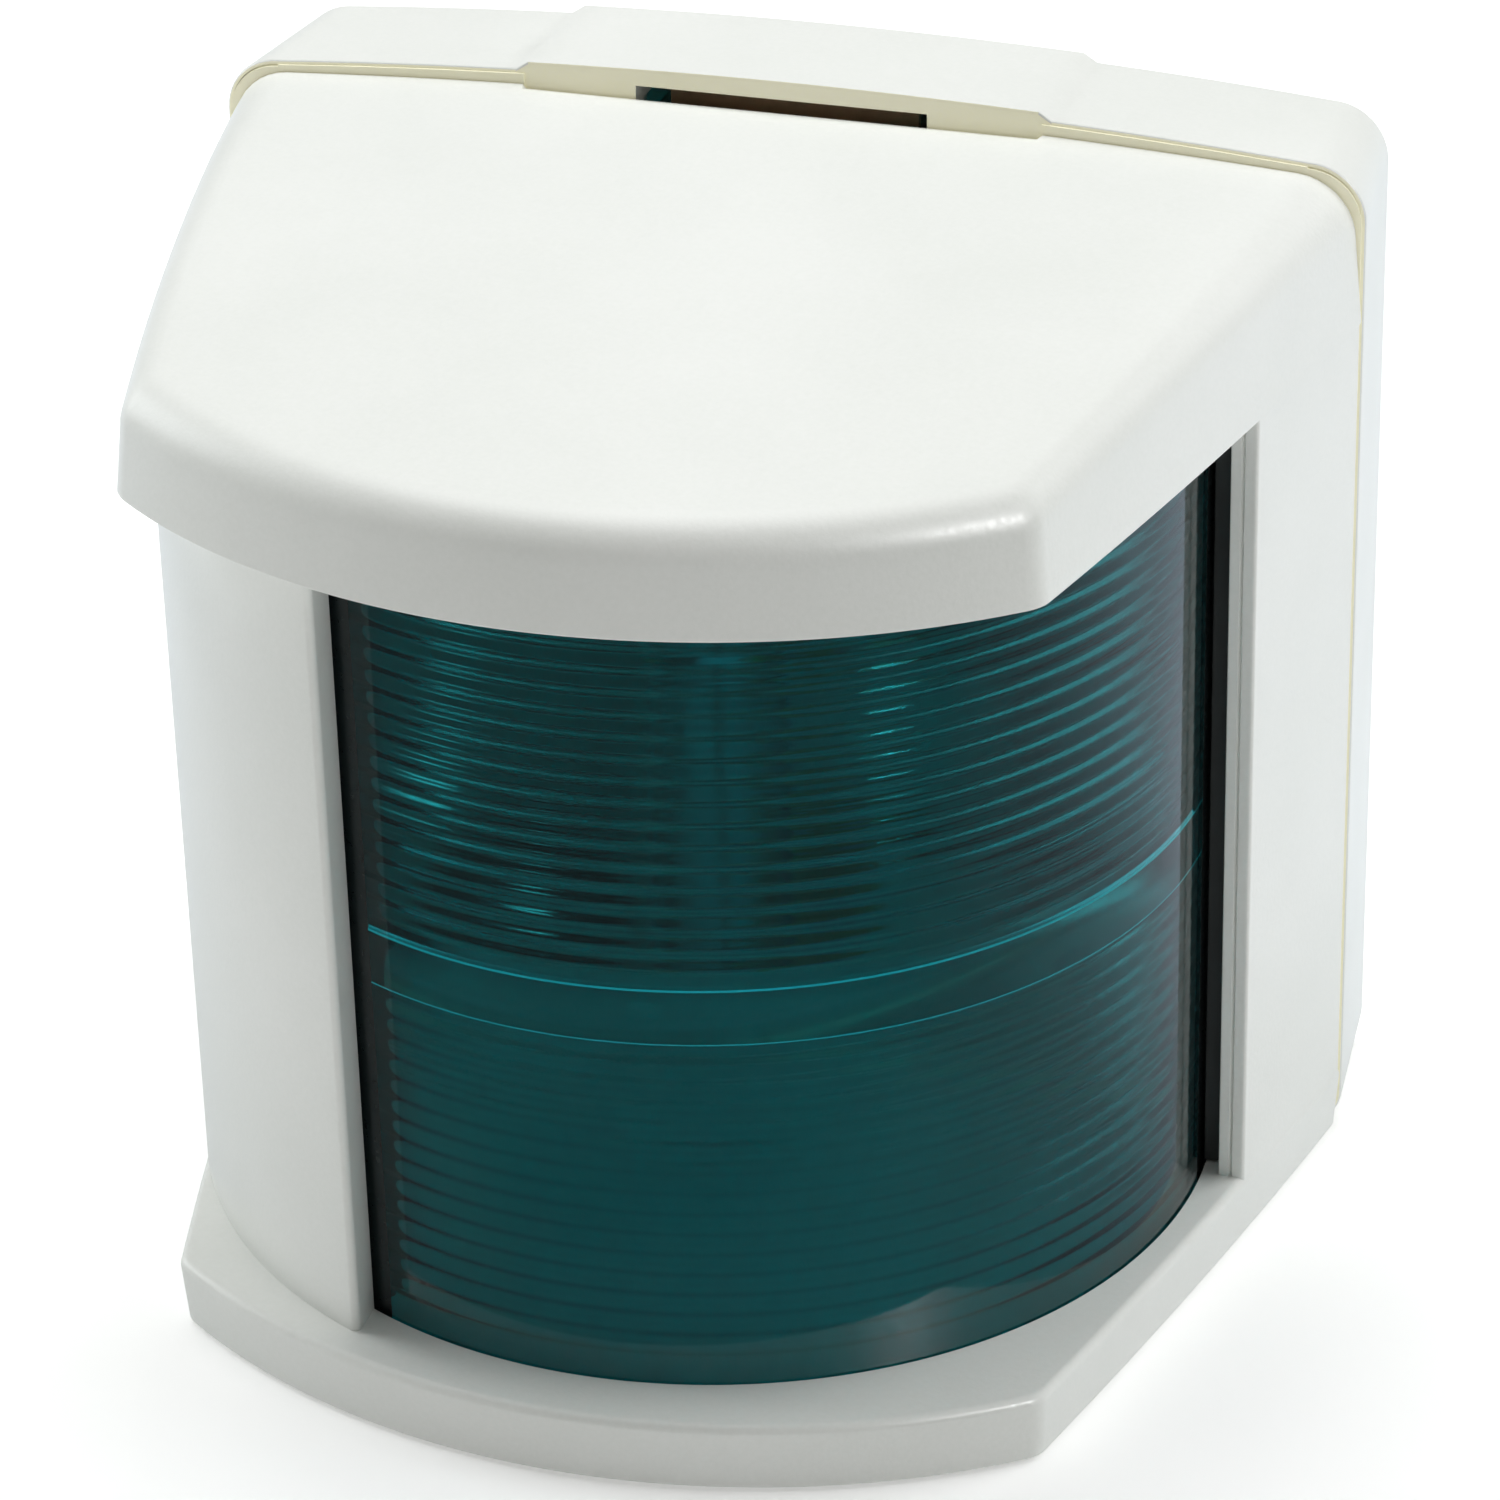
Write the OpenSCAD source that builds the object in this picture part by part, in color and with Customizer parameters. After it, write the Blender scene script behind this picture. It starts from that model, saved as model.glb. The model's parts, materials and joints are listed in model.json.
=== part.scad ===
// Starboard side light for a bulkhead: two-part housing, green sector lens, festoon lamp.
// Frame: +Z up, the bulkhead is the plane y = 0, the lens looks towards -Y, +X is ahead.

/* [Housing] */
// Overall width at the parting line
body_w = 88; // [70:0.5:120]
// Depth of the rear housing
base_d = 13.5; // [10:0.5:25]
// Half width of the rear housing at the bulkhead
base_back_half = 42.8; // [35:0.1:60]
// Height of the rear housing under the slot block
base_h = 82.6; // [60:0.1:120]
// Height of the slot block over the rear housing
tab_rise = 0.6; // [0:0.1:3]
// Half width of the slot block
tab_half = 19.6; // [10:0.1:30]
// Wall thickness of the mouldings
wall = 2.4; // [1.6:0.1:4]
// Gap between the rear housing and the cover
part_gap = 0.25; // [0.2:0.05:1]

/* [Cover] */
// Half width of the cover at its rear edge
cover_half = 43.85; // [35:0.1:60]
// Half distance between the front corners
corner_half = 33.1; // [25:0.1:50]
// Distance of the front corners from the bulkhead
corner_d = 62.9; // [45:0.1:90]
// Distance of the floor's front edge from the bulkhead
floor_d = 74; // [50:0.1:110]
// Distance of the roof's front edge from the bulkhead
roof_d = 75; // [50:0.1:110]
// Thickness of the floor plate
floor_t = 5.6; // [3:0.1:10]
// Height of the underside of the roof
soffit_z = 68.7; // [50:0.1:100]
// Height of the roof at its rear edge
roof_rear_z = 81.4; // [60:0.1:120]
// Height of the roof at its front edge
roof_front_z = 76.4; // [60:0.1:120]
// Radius of the roof's upper edge at the front
roof_r = 2.8; // [1:0.1:5]
// Radius of the roof's upper edge at the rear corners
roof_rear_r = 4.4; // [1:0.1:6]

/* [Lens] */
// Distance of the lens axis from the bulkhead
axis_d = 32; // [20:0.5:50]
// Outer radius of the lens
lens_r = 37; // [25:0.1:60]
// Thickness of the lens
lens_t = 2.6; // [1.5:0.1:4]
// Outer radius of the cheeks beside the lens
cheek_r = 40.2; // [30:0.1:60]
// Aft end of the sector of light, in degrees from the outward direction
aft_deg = 24; // [10:0.5:60]
// Distance of the window's aft edge from the middle of the housing
aft_x = 16.8; // [10:0.1:30]
// Forward edge of the window, in degrees from the outward direction
fore_deg = 91; // [60:0.5:110]

/* [Lamp] */
// Length of the festoon lamp over its caps
lamp_l = 41; // [31:1:44]
// Radius of the lamp's glass
lamp_r = 5; // [3:0.1:7.5]
// Radius of the lamp's end caps
cap_r = 3.5; // [3:0.1:5]

/* [Fastening] */
// Radius of the mounting holes
mount_hole_r = 2.2; // [1.5:0.1:3.5]
// Half spacing of the mounting holes across the housing
mount_x = 32; // [20:0.5:40]
// Radius of the cable hole in the grommet
cable_r = 3; // [1.5:0.1:5]
// Width of the tool slot
slot_w = 22.4; // [8:0.1:30]
// Height of the tool slot
slot_h = 2.0; // [1:0.1:4]

/* [Hidden] */
$fn = 96;
eps = 0.01;
sill = 0.05;
base_half = body_w / 2;
cover_y = -base_d - part_gap;
front_y = -base_d;
back_t = 2.5;
flange_t = 1.8;
mid_z = (floor_t + soffit_z) / 2;
slot_z = 80.7;
arm_off = 17.4;
pivot_y = -12;
pivot_z = 1.6;
origin_z = 45;
pin_r = 0.8;
lug_r = 1.6;
lug_x = 30;
clip_y = -4.2;
clip_z = 74.9;
clip_pin_r = 0.75;
top_r = 470;
mount_z = [28, 62];
grommet_x = -24;
grommet_z = 18;
screw_z = [11, 63.3];
screw_deg = [-aft_deg - 16, fore_deg + 15];
bar_r = lens_r - lens_t - 0.03;
pocket_r = 38.4;

shell_white = [0.94, 0.94, 0.91];
seal_cream = [0.86, 0.82, 0.68];
lens_green = [0.02, 0.30, 0.26, 0.75];
rubber_black = [0.08, 0.08, 0.09];
bronze = [0.58, 0.38, 0.20];
brass = [0.78, 0.62, 0.28];
steel = [0.72, 0.73, 0.75];

// The modules below build upwards from the underside; the frame's origin is the centre of the
// four mounting holes, on the bulkhead.
module on_wall() translate([0, 0, -origin_z]) children();

// --- Outlines -----------------------------------------------------------

function arc_pts(c, r, a0, a1, n) =
    [for (i = [0:n]) let (a = a0 + (a1 - a0) * i / n) [c[0] + r * cos(a), c[1] + r * sin(a)]];

// The plan of the cover, anticlockwise from its rear right corner; `apex` is the front edge's depth.
function side_x(y) =
    let (t = (y - cover_y) / (-corner_d - cover_y))
    cover_half + (corner_half - cover_half) * t + 2.0 * t * (1 - t);
function front_r(apex) = let (s = apex - corner_d) (corner_half * corner_half + s * s) / (2 * s);
function right_side(n) =
    [for (i = [0:n]) let (y = cover_y + (-corner_d + 1.0 - cover_y) * i / n) [side_x(y), y]];
function front_edge(apex, n) =
    let (r = front_r(apex), a = asin((corner_half - 1.0) / r))
    [for (i = [0:n]) let (b = 2 * a * i / n - a) [r * sin(b), -apex + r - r * cos(b)]];
function left_of(p) = [for (q = p) [-q[0], q[1]]];
function plan(apex) = let (side = right_side(8), corner = [corner_half - 0.25, -corner_d - 0.1])
    concat(left_of(side), left_of([corner]), front_edge(apex, 20), [corner],
           [for (i = [8:-1:0]) side[i]]);
function shrink(p, d) =
    [for (q = p) [q[0] * (1 - d / cover_half), cover_y + (q[1] - cover_y) * (1 - d / 60)]];

// Height of the roof: level along the front edge, lightly crowned at the rear.
function front_y_at(x) = let (r = front_r(roof_d)) r - roof_d - sqrt(r * r - x * x);
function roof_z(x, y) =
    let (t = min(1, (cover_y - y) / (cover_y - front_y_at(x))))
    roof_rear_z - (roof_rear_z - roof_front_z) * (0.55 * t + 0.45 * t * t)
    - 1.65 * pow(x / cover_half, 2) * (1 - t);
function edge_r(y) = roof_r + (roof_rear_r - roof_r) * pow(max(0, 1 - (cover_y - y) / 40), 1.5);

// The roof's points, ring by ring, from the fascia's lower edge to the crown.
function roof_ring(d) = [for (q = shrink(plan(roof_d), d)) [q[0], q[1], roof_z(q[0], q[1])]];
function edge_ring(a) = [for (p = plan(roof_d))
    let (r = edge_r(p[1]), q = shrink([p], r * (1 - cos(a)))[0])
    [q[0], q[1], roof_z(q[0], q[1]) - r * (1 - sin(a))]];
function roof_pts() =
    concat([for (q = plan(roof_d)) [q[0], q[1], soffit_z]],
           [for (k = [0:5]) each edge_ring(18 * k)],
           [for (d = [8, 15, 24, 34]) each roof_ring(d)],
           [[0, cover_y, roof_z(0, cover_y)]]);

module roof_blank() {
    p = roof_pts();
    hull() polyhedron(points = p, faces = [for (i = [0:len(p) - 3]) [i, i + 1, i + 2]]);
}

// Ring sector about the lens axis; angles run from the outward direction towards +X.
module sector(r0, r1, a0, a1, z0, z1)
    translate([0, -axis_d, z0]) rotate([0, 0, a0 - 90])
        rotate_extrude(angle = a1 - a0, $fn = 180) translate([r0, 0]) square([r1 - r0, z1 - z0]);

// A bar along Y with the shape of its child, from y0 (rear) to y1 (front).
module along_y(y0, y1) translate([0, y0, 0]) rotate([90, 0, 0]) linear_extrude(y0 - y1) children();

module box(x0, x1, y0, y1, z0, z1) translate([x0, y0, z0]) cube([x1 - x0, y1 - y0, z1 - z0]);

module pin_x(r, x0, x1, y, z) translate([x0, y, z]) rotate([0, 90, 0]) cylinder(r = r, h = x1 - x0);

module pin_y(r, x, z, y0, y1) translate([x, y0, z]) rotate([90, 0, 0]) cylinder(r = r, h = y0 - y1);

// Elevation of the rear housing: arched top, round corners.
module elevation(d) {
    intersection() {
        translate([-base_half + d, d]) square([2 * (base_half - d), base_h - 2 * d]);
        translate([0, base_h - d - top_r]) circle(r = top_r, $fn = 720);
        union() {
            for (sx = [-1, 1]) {
                translate([sx * (base_half - 4.4), base_h - 6.2]) circle(r = 4.4 - min(d, 3));
                translate([sx * (base_half - 3), 3]) circle(r = 3 - min(d, 2));
            }
            translate([-base_half, 3]) square([2 * base_half, base_h - 9.2]);
            translate([-base_half + 3, 0]) square([2 * base_half - 6, 20]);
            translate([-base_half + 4.4, 20]) square([2 * base_half - 8.8, base_h]);
        }
    }
}

// --- Rear housing -------------------------------------------------------

module base_housing() color(shell_white) on_wall() {
    spigot_out = 40.2;
    spigot_top = 76.0;
    difference() {
        union() {
            intersection() {
                difference() {
                    along_y(0, front_y) elevation(0);
                    along_y(-back_t, front_y + flange_t) elevation(wall);
                    box(-38.6, 38.6, front_y - 1, front_y + 3, 6, 74.4);
                }
                linear_extrude(120) polygon([[-base_half, front_y - 1], [base_half, front_y - 1],
                    [base_half, front_y], [base_back_half, 1], [-base_back_half, 1],
                    [-base_half, front_y]]);
            }
            // slot block, with ramps at both ends
            along_y(0, front_y) intersection() {
                polygon([[-tab_half - 1.2, base_h - 3.2], [tab_half + 1.2, base_h - 3.2],
                    [tab_half + 1.2, base_h - 0.6], [tab_half, base_h + 0.3],
                    [tab_half - 1, base_h + 1], [1 - tab_half, base_h + 1],
                    [-tab_half, base_h + 0.3], [-tab_half - 1.2, base_h - 0.6]]);
                translate([0, base_h + tab_rise - top_r]) circle(r = top_r, $fn = 720);
            }
            // spigot that the cover slips over
            difference() {
                box(-spigot_out, spigot_out, -17, front_y + flange_t, 7, spigot_top);
                box(-38.6, 38.6, -18, 0, 0, 74.4);
            }
            // mounting pads, carrier posts, cable boss
            for (x = [-1, 1], z = mount_z) pin_y(5, x * mount_x, z, -eps, -4);
            for (z = screw_z) pin_y(3.4, 0, z, -eps, -6);
            pin_y(8.5, grommet_x, grommet_z, -eps, -4);
            // hinge blocks and the clip's ears
            for (x = [-lug_x, lug_x]) box(x - 7, x + 7, front_y, -8.8, 0.4, 5);
            for (x = [-12.1, 9.9]) box(x, x + 2.2, -6.2, -1, 72.6, 77.2);
        }
        // tool slot, room for the clip below it, and the two openings for the cover's tongues
        box(-slot_w / 2, slot_w / 2, front_y - 1, -8.5, slot_z - slot_h / 2, slot_z + slot_h / 2);
        box(-slot_w / 2, slot_w / 2, front_y + flange_t + 0.5, -8.5, base_h - 4, slot_z);
        for (x = [-15.5, 15.5]) box(x - 3.3, x + 3.3, front_y - 1, front_y + flange_t + eps, 76.3, 79.5);
        // mounting holes, carrier screw holes, grommet seat
        for (x = [-1, 1], z = mount_z) pin_y(mount_hole_r, x * mount_x, z, 1, -5);
        for (z = screw_z) pin_y(1.4, 0, z, -1.6, -7);
        pin_y(6, grommet_x, grommet_z, 1, -5);
        // hinge pockets and pin holes
        for (x = [-lug_x, lug_x]) {
            box(x - 3.3, x + 3.3, front_y - 1, -9.9, -1, 3.7);
            pin_x(pin_r, x - 6, x + 6, pivot_y, pivot_z);
        }
        pin_x(clip_pin_r, -12.6, 12.6, clip_y, clip_z);
        // relief that the cover's lower edge turns past, groove for the cover's seal
        translate([-50, front_y, -0.9]) rotate([45, 0, 0]) translate([0, -2, 0]) cube([100, 4, 1.28]);
        along_y(front_y + 0.6, front_y - 1) cover_seal_line();
        // groove for the back seal, drain holes
        along_y(1, -1.2) difference() { seal_line(0); seal_line(2); }
        for (x = [-12, 12]) translate([x, -7, -1]) cylinder(r = 1.5, h = 6);
    }
}

module seal_line(d)
    translate([0, 41]) offset(r = 6 - d) square([2 * (39.4 - 6), 2 * (36.6 - 6)], center = true);

module back_seal() color(rubber_black) on_wall()
    along_y(0, -1.2) difference() { seal_line(0); seal_line(2); }

module cable_grommet() color(rubber_black) on_wall() difference() {
    union() {
        pin_y(6, grommet_x, grommet_z, 0, -4);
        pin_y(7.6, grommet_x, grommet_z, -4, -6);
        pin_y(5, grommet_x, grommet_z, -6, -8.5);
    }
    pin_y(cable_r, grommet_x, grommet_z, 1, -10);
}

// Line of the seal between the two housings; it stops at both sides of the slot block.
module cover_seal_line() difference() {
    intersection() {
        elevation(0.35);
        translate([-50, 3.8]) square([100, 90]);
    }
    intersection() {
        elevation(2);
        translate([-50, 5.2]) square([100, 90]);
    }
    translate([-tab_half - 0.3, 60]) square([2 * tab_half + 0.6, 40]);
}

module cover_seal() color(seal_cream) on_wall()
    along_y(front_y + 0.6, front_y - part_gap + 0.1) cover_seal_line();

// --- Cover --------------------------------------------------------------

module cavity() intersection() {
    linear_extrude(100) union() {
        translate([0, -axis_d]) circle(r = lens_r + 0.15, $fn = 180);
        polygon([[-side_x(-19) + wall, -19], [side_x(-19) - wall, -19],
                 [side_x(cover_y) - wall, cover_y + 5], [-side_x(cover_y) + wall, cover_y + 5]]);
    }
    rotate([90, 0, 90]) translate([0, 0, -60]) linear_extrude(120)
        polygon([[0, floor_t], [-18.9, floor_t], [-18.9, 3.4], [-80, 3.4], [-80, 72.6],
                 [cover_y, 78.0], [0, 78.0]]);
}

module cover_housing() color(shell_white) on_wall() difference() {
    union() {
        roof_blank();
        linear_extrude(floor_t) polygon(plan(floor_d));
        // cheeks and side walls
        translate([0, 0, floor_t - 1]) linear_extrude(soffit_z - floor_t + 2) intersection() {
            union() {
                translate([0, -axis_d]) circle(r = cheek_r, $fn = 180);
                translate([-50, -axis_d]) square([100, axis_d + cover_y]);
            }
            polygon(shrink(plan(floor_d), 0.35));
        }
        // hinge lugs and tongues with their catches
        for (x = [-lug_x, lug_x]) {
            pin_x(lug_r, x - 3, x + 3, pivot_y, pivot_z);
            box(x - 3, x + 3, cover_y - 2, pivot_y, 0.4, 2.8);
        }
        for (x = [-15.5, 15.5]) {
            box(x - 2.7, x + 2.7, cover_y - 3, -6.3, 77.6, 78.9);
            box(x - 2.7, x + 2.7, -9.0, -6.3, 76.6, 78);
        }
    }
    cavity();
    // window for the lens, with a fine sill at the floor and at the soffit
    intersection() {
        sector(30, cheek_r + 0.8, -aft_deg - 10, fore_deg, floor_t + sill, soffit_z - sill);
        box(-aft_x, 60, -90, 0, 0, 90);
    }
    sector(36.3, pocket_r, fore_deg - 0.7, fore_deg + 8.6, floor_t + 2 * sill, soffit_z - 2 * sill);
    // recess in front of the tool slot
    translate([0, cover_y, roof_rear_z - 0.7]) rotate([-16, 0, 0])
        translate([-tab_half, -3, 0]) cube([2 * tab_half, 4, 6]);
    for (x = [-lug_x, lug_x]) pin_x(pin_r + 0.05, x - 4, x + 4, pivot_y, pivot_z);
    // pilot holes for the screen screws
    for (a = screw_deg, z = [14, 60]) radial(a, z, 36, 39) cylinder(r = 0.8, h = 3);
    for (x = [-10, 10]) translate([x, -24, -1]) cylinder(r = 1.5, h = 8);
}

module radial(a, z, r0, r1) translate([0, -axis_d, z]) rotate([0, 0, a - 90]) translate([r0, 0, 0])
    rotate([0, 90, 0]) children();

module lens() color(lens_green) on_wall()
    sector(lens_r - lens_t, lens_r, -aft_deg - 6, fore_deg + 5.5, 4.2, 69.9);

module lens_seal() color(rubber_black) on_wall() {
    difference() {
        sector(lens_r - lens_t + 0.4, lens_r, -aft_deg - 7.5, fore_deg + 7, 3.4, 70.7);
        sector(30, 40, -aft_deg - 6, fore_deg + 5.5, 4.2, 69.9);
    }
    // lip over the lens in the pocket at the fore edge
    sector(lens_r + 0.05, pocket_r - 0.1, fore_deg + 2.5, fore_deg + 7.7, floor_t + 0.2, soffit_z - 0.2);
    sector(lens_r - 0.4, pocket_r - 0.1, fore_deg + 5.7, fore_deg + 6.9, floor_t + 0.2, soffit_z - 0.2);
}

// Upright bar that clamps one end of the lens and ends the sector of light.
module screen(a_end, a_in, a_step) difference() {
    union() {
        sector(bar_r - 1.4, bar_r, min(a_end, a_in), max(a_end, a_in), 6, 68);
        sector(bar_r - 0.5, lens_r + 0.1, min(a_end, a_step), max(a_end, a_step), 6, 68);
    }
    for (z = [14, 60]) radial((a_end + a_step) / 2, z, 30, 40) cylinder(r = 0.95, h = 10);
}

module screen_aft() color(rubber_black) on_wall() screen(-aft_deg - 24, -aft_deg - 2.8, -aft_deg - 8);
module screen_fore() color(rubber_black) on_wall() screen(fore_deg + 22, fore_deg - 1.5, fore_deg + 8);

module screen_screws() color(steel) on_wall() for (a = screw_deg, z = [14, 60]) {
    radial(a, z, 31.6, 39) cylinder(r = 1.7, h = 1.2);
    radial(a, z, 32.7, 39) cylinder(r = 0.8, h = 6);
}

// --- Release clip -------------------------------------------------------

module release_clip() color(bronze) on_wall() difference() {
    union() {
        pin_x(1.3, -9.6, 9.6, clip_y, clip_z);
        box(-9.6, 9.6, -10.1, clip_y, 74.6, 75.2);
        box(-18.2, 18.2, -10.1, -6.8, 74.6, 75.2);
        for (x = [-15.5, 15.5]) box(x - 2.7, x + 2.7, -10.1, -9.5, 74.6, 77.4);
        box(-9.6, 9.6, -10.1, -9.5, 74.6, 80.4);
    }
    pin_x(clip_pin_r + 0.05, -10, 10, clip_y, clip_z);
}

module clip_pin() color(steel) on_wall() pin_x(clip_pin_r, -12.6, 12.6, clip_y, clip_z);

module hinge_pins() color(steel) on_wall()
    for (x = [-lug_x, lug_x]) pin_x(pin_r, x - 6, x + 6, pivot_y, pivot_z);

// --- Lamp holder --------------------------------------------------------

module lamp_carrier() color(shell_white) on_wall() difference() {
    union() {
        box(-14, 14, -8, -6, 8, 66.3);
        // ribs under the two contact arms
        for (s = [-1, 1]) {
            z0 = mid_z + s * (arm_off + 0.25);
            box(-1.2, 1.2, -24, -7.5, s > 0 ? z0 : z0 - 3, s > 0 ? z0 + 3 : z0);
        }
        for (x = [-14, 12.4]) box(x, x + 1.6, -6.5, -3.6, 8, 66.3);
    }
    for (z = screw_z) pin_y(1.7, 0, z, -5, -9);
    for (x = [-2.5, 2.5], s = [-1, 1]) pin_y(1.0, x, mid_z + s * 8.5, -5, -9);
}

module carrier_screws() color(steel) on_wall() for (z = screw_z) difference() {
    union() {
        pin_y(1.4, 0, z, -1.8, -8.2);
        pin_y(2.9, 0, z, -8, -10);
    }
    box(-3, 3, -11, -9.2, z - 0.4, z + 0.4);
    box(-0.4, 0.4, -11, -9.2, z - 3, z + 3);
}

// One contact: strap on the carrier, arm, and fork round the lamp's cap. s is +1 above, -1 below.
module contact(s) {
    arm_z = mid_z + s * arm_off;
    difference() {
        union() {
            box(-4.1, 4.1, -8.5, -8, min(arm_z, mid_z + s * 5.5), max(arm_z, mid_z + s * 5.5));
            box(4, 8, -8.5, -8, mid_z + s * 8.5 - 2, mid_z + s * 8.5 + 2);
            box(-4.1, 4.1, -27.6, -8, arm_z - 0.25, arm_z + 0.25);
            box(-4.1, 4.1, -28.1, -27.6, arm_z - 2.4, arm_z + 2.4);
            for (x = [-4.1, 3.6]) box(x, x + 0.5, -35, -27.6, arm_z - 2.4, arm_z + 2.4);
        }
        for (x = [-2.5, 2.5]) pin_y(1.0, x, mid_z + s * 8.5, -5, -9);
    }
}

module contact_upper() color(brass) on_wall() contact(1);
module contact_lower() color(brass) on_wall() contact(-1);

module contact_rivets() color(steel) on_wall() for (x = [-2.5, 2.5], s = [-1, 1]) {
    pin_y(1.0, x, mid_z + s * 8.5, -6, -8.5);
    pin_y(1.6, x, mid_z + s * 8.5, -8.5, -9.2);
}

// --- Lamp ---------------------------------------------------------------

module at_lamp() translate([0, -axis_d, mid_z]) children();

module bulb_glass() color([0.9, 0.93, 0.95, 0.4]) on_wall() at_lamp() difference() {
    union() {
        cylinder(r = lamp_r, h = 20, center = true);
        for (s = [-1, 1]) translate([0, 0, s * 10]) sphere(r = lamp_r);
        cylinder(r = 2.6, h = 31.2, center = true);
    }
    cylinder(r = lamp_r - 0.6, h = 20, center = true);
    for (s = [-1, 1]) translate([0, 0, s * 10]) sphere(r = lamp_r - 0.6);
}

module bulb_caps() color(steel) on_wall() at_lamp() for (s = [0, 1]) mirror([0, 0, s]) difference() {
    union() {
        translate([0, 0, lamp_l / 2 - 6.1]) cylinder(r = cap_r, h = 5.2);
        translate([0, 0, lamp_l / 2 - 1]) cylinder(r1 = 2.4, r2 = 0.9, h = 1);
    }
    translate([0, 0, lamp_l / 2 - 7]) cylinder(r = 2.6, h = 2.1);
}

module bulb_filament() color([0.45, 0.44, 0.42]) on_wall() at_lamp() {
    cylinder(r = 0.5, h = 14, center = true, $fn = 24);
    for (s = [-1, 1]) translate([0, 0, s * 10.6 - 3.7]) cylinder(r = 0.2, h = 7.4, $fn = 16);
}

// --- Terminals and leads ------------------------------------------------

term_x = [21, 30];

module terminal_body() color([0.9, 0.9, 0.88]) on_wall() difference() {
    box(16, 35, -11.5, -back_t, 9, 19);
    for (x = term_x) {
        translate([x, -7, 8]) cylinder(r = 2.3, h = 12);
        pin_y(1.9, x, 14, -6, -12);
    }
}

module terminal_clamps() color(brass) on_wall() for (x = term_x) difference() {
    translate([x, -7, 9.6]) cylinder(r = 2.3, h = 8.8);
    translate([x, -7, 9]) cylinder(r = 1.5, h = 10);
    pin_y(1.3, x, 14, -7, -12);
}

module terminal_screws() color(steel) on_wall() for (x = term_x) difference() {
    union() {
        pin_y(1.3, x, 14, -7.8, -9.6);
        pin_y(1.8, x, 14, -9.5, -11.2);
    }
    box(x - 2, x + 2, -12, -10.5, 13.7, 14.3);
}

// A tube of 8 sides swept along the points p; `up` is any direction that the route never takes.
function unit(v) = v / norm(v);
function wire_ring(p, i, r, up) =
    let (n = len(p) - 1, d = unit(p[min(i + 1, n)] - p[max(i - 1, 0)]), u = unit(cross(d, up)),
         v = cross(d, u)) [for (k = [0:7]) p[i] + r * (cos(45 * k) * u + sin(45 * k) * v)];
module wire(p, r = 0.9, up = [0, 1, 0]) {
    n = len(p) - 1;
    polyhedron(
        points = [for (i = [0:n]) each wire_ring(p, i, r, up)],
        faces = concat([[for (k = [7:-1:0]) k]], [[for (k = [0:7]) n * 8 + k]],
            [for (i = [0:n - 1], k = [0:7])
                [i * 8 + k, i * 8 + (k + 1) % 8, i * 8 + 8 + (k + 1) % 8, i * 8 + 8 + k]]));
}

// Corners of a route, each rounded with a short three-point bend.
function bent(p, d) = concat([p[0]],
    [for (i = [1:len(p) - 2]) let (a = unit(p[i - 1] - p[i]), b = unit(p[i + 1] - p[i]))
        each [p[i] + a * d, p[i] + (a + b) * d * 0.28, p[i] + b * d]], [p[len(p) - 1]]);

module lead_live() color([0.70, 0.10, 0.08]) on_wall()
    wire(bent([[21, -7, 15.5], [21, -7, 26], [14, -9.45, 28.6], [5.5, -9.45, 28.6]], 2));

module lead_return() color([0.1, 0.1, 0.11]) on_wall()
    wire(bent([[30, -7, 15.5], [30, -7, 43], [24, -9.45, 45.7], [5.5, -9.45, 45.7]], 2));

// --- Assembly -----------------------------------------------------------

base_housing();
back_seal();
cable_grommet();
cover_seal();
cover_housing();
lens();
lens_seal();
screen_aft();
screen_fore();
screen_screws();
release_clip();
clip_pin();
hinge_pins();
lamp_carrier();
carrier_screws();
contact_upper();
contact_lower();
contact_rivets();
bulb_glass();
bulb_caps();
bulb_filament();
terminal_body();
terminal_clamps();
terminal_screws();
lead_live();
lead_return();
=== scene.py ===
import json
import math

import bmesh
import bpy
from mathutils import Matrix, Vector


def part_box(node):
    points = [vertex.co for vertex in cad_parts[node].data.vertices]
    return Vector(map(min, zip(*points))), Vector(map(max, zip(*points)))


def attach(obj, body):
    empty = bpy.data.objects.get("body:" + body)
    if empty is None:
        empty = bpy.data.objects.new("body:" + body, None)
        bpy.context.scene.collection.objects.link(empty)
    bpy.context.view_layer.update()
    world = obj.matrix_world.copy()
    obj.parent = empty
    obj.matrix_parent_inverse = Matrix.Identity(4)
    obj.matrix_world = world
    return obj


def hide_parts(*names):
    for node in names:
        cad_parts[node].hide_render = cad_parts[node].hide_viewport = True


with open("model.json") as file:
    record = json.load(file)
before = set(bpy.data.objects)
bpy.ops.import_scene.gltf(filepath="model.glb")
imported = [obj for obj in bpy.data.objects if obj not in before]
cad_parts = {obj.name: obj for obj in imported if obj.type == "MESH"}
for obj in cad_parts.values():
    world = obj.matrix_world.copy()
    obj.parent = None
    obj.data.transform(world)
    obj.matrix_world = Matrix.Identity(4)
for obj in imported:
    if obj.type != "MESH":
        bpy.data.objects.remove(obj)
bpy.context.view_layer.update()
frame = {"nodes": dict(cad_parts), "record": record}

# ---------------------------------------------------------------------------
# Sizes. Everything below is drawn in millimetres above the underside of the light, and turned
# into the frame's metres when a piece is finished. Angles round the lens axis are in degrees
# from straight ahead (-Y) towards +X.
# ---------------------------------------------------------------------------
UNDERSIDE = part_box("base_housing")[0].z * 1000
WALL = 2.4

# rear housing: depth, half width in front and at the bulkhead, height, upper and lower corners
BASE_D, BASE_HALF, BASE_BACK_HALF, BASE_H = 13.5, 44.0, 42.8, 82.6
BASE_R_TOP, BASE_R_LOW = 4.4, 3.0
# its top and the slot block on it fall by x * x / ARCH towards the sides
ARCH, TAB_HALF, TAB_RISE = 940.0, 19.6, 0.6

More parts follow.
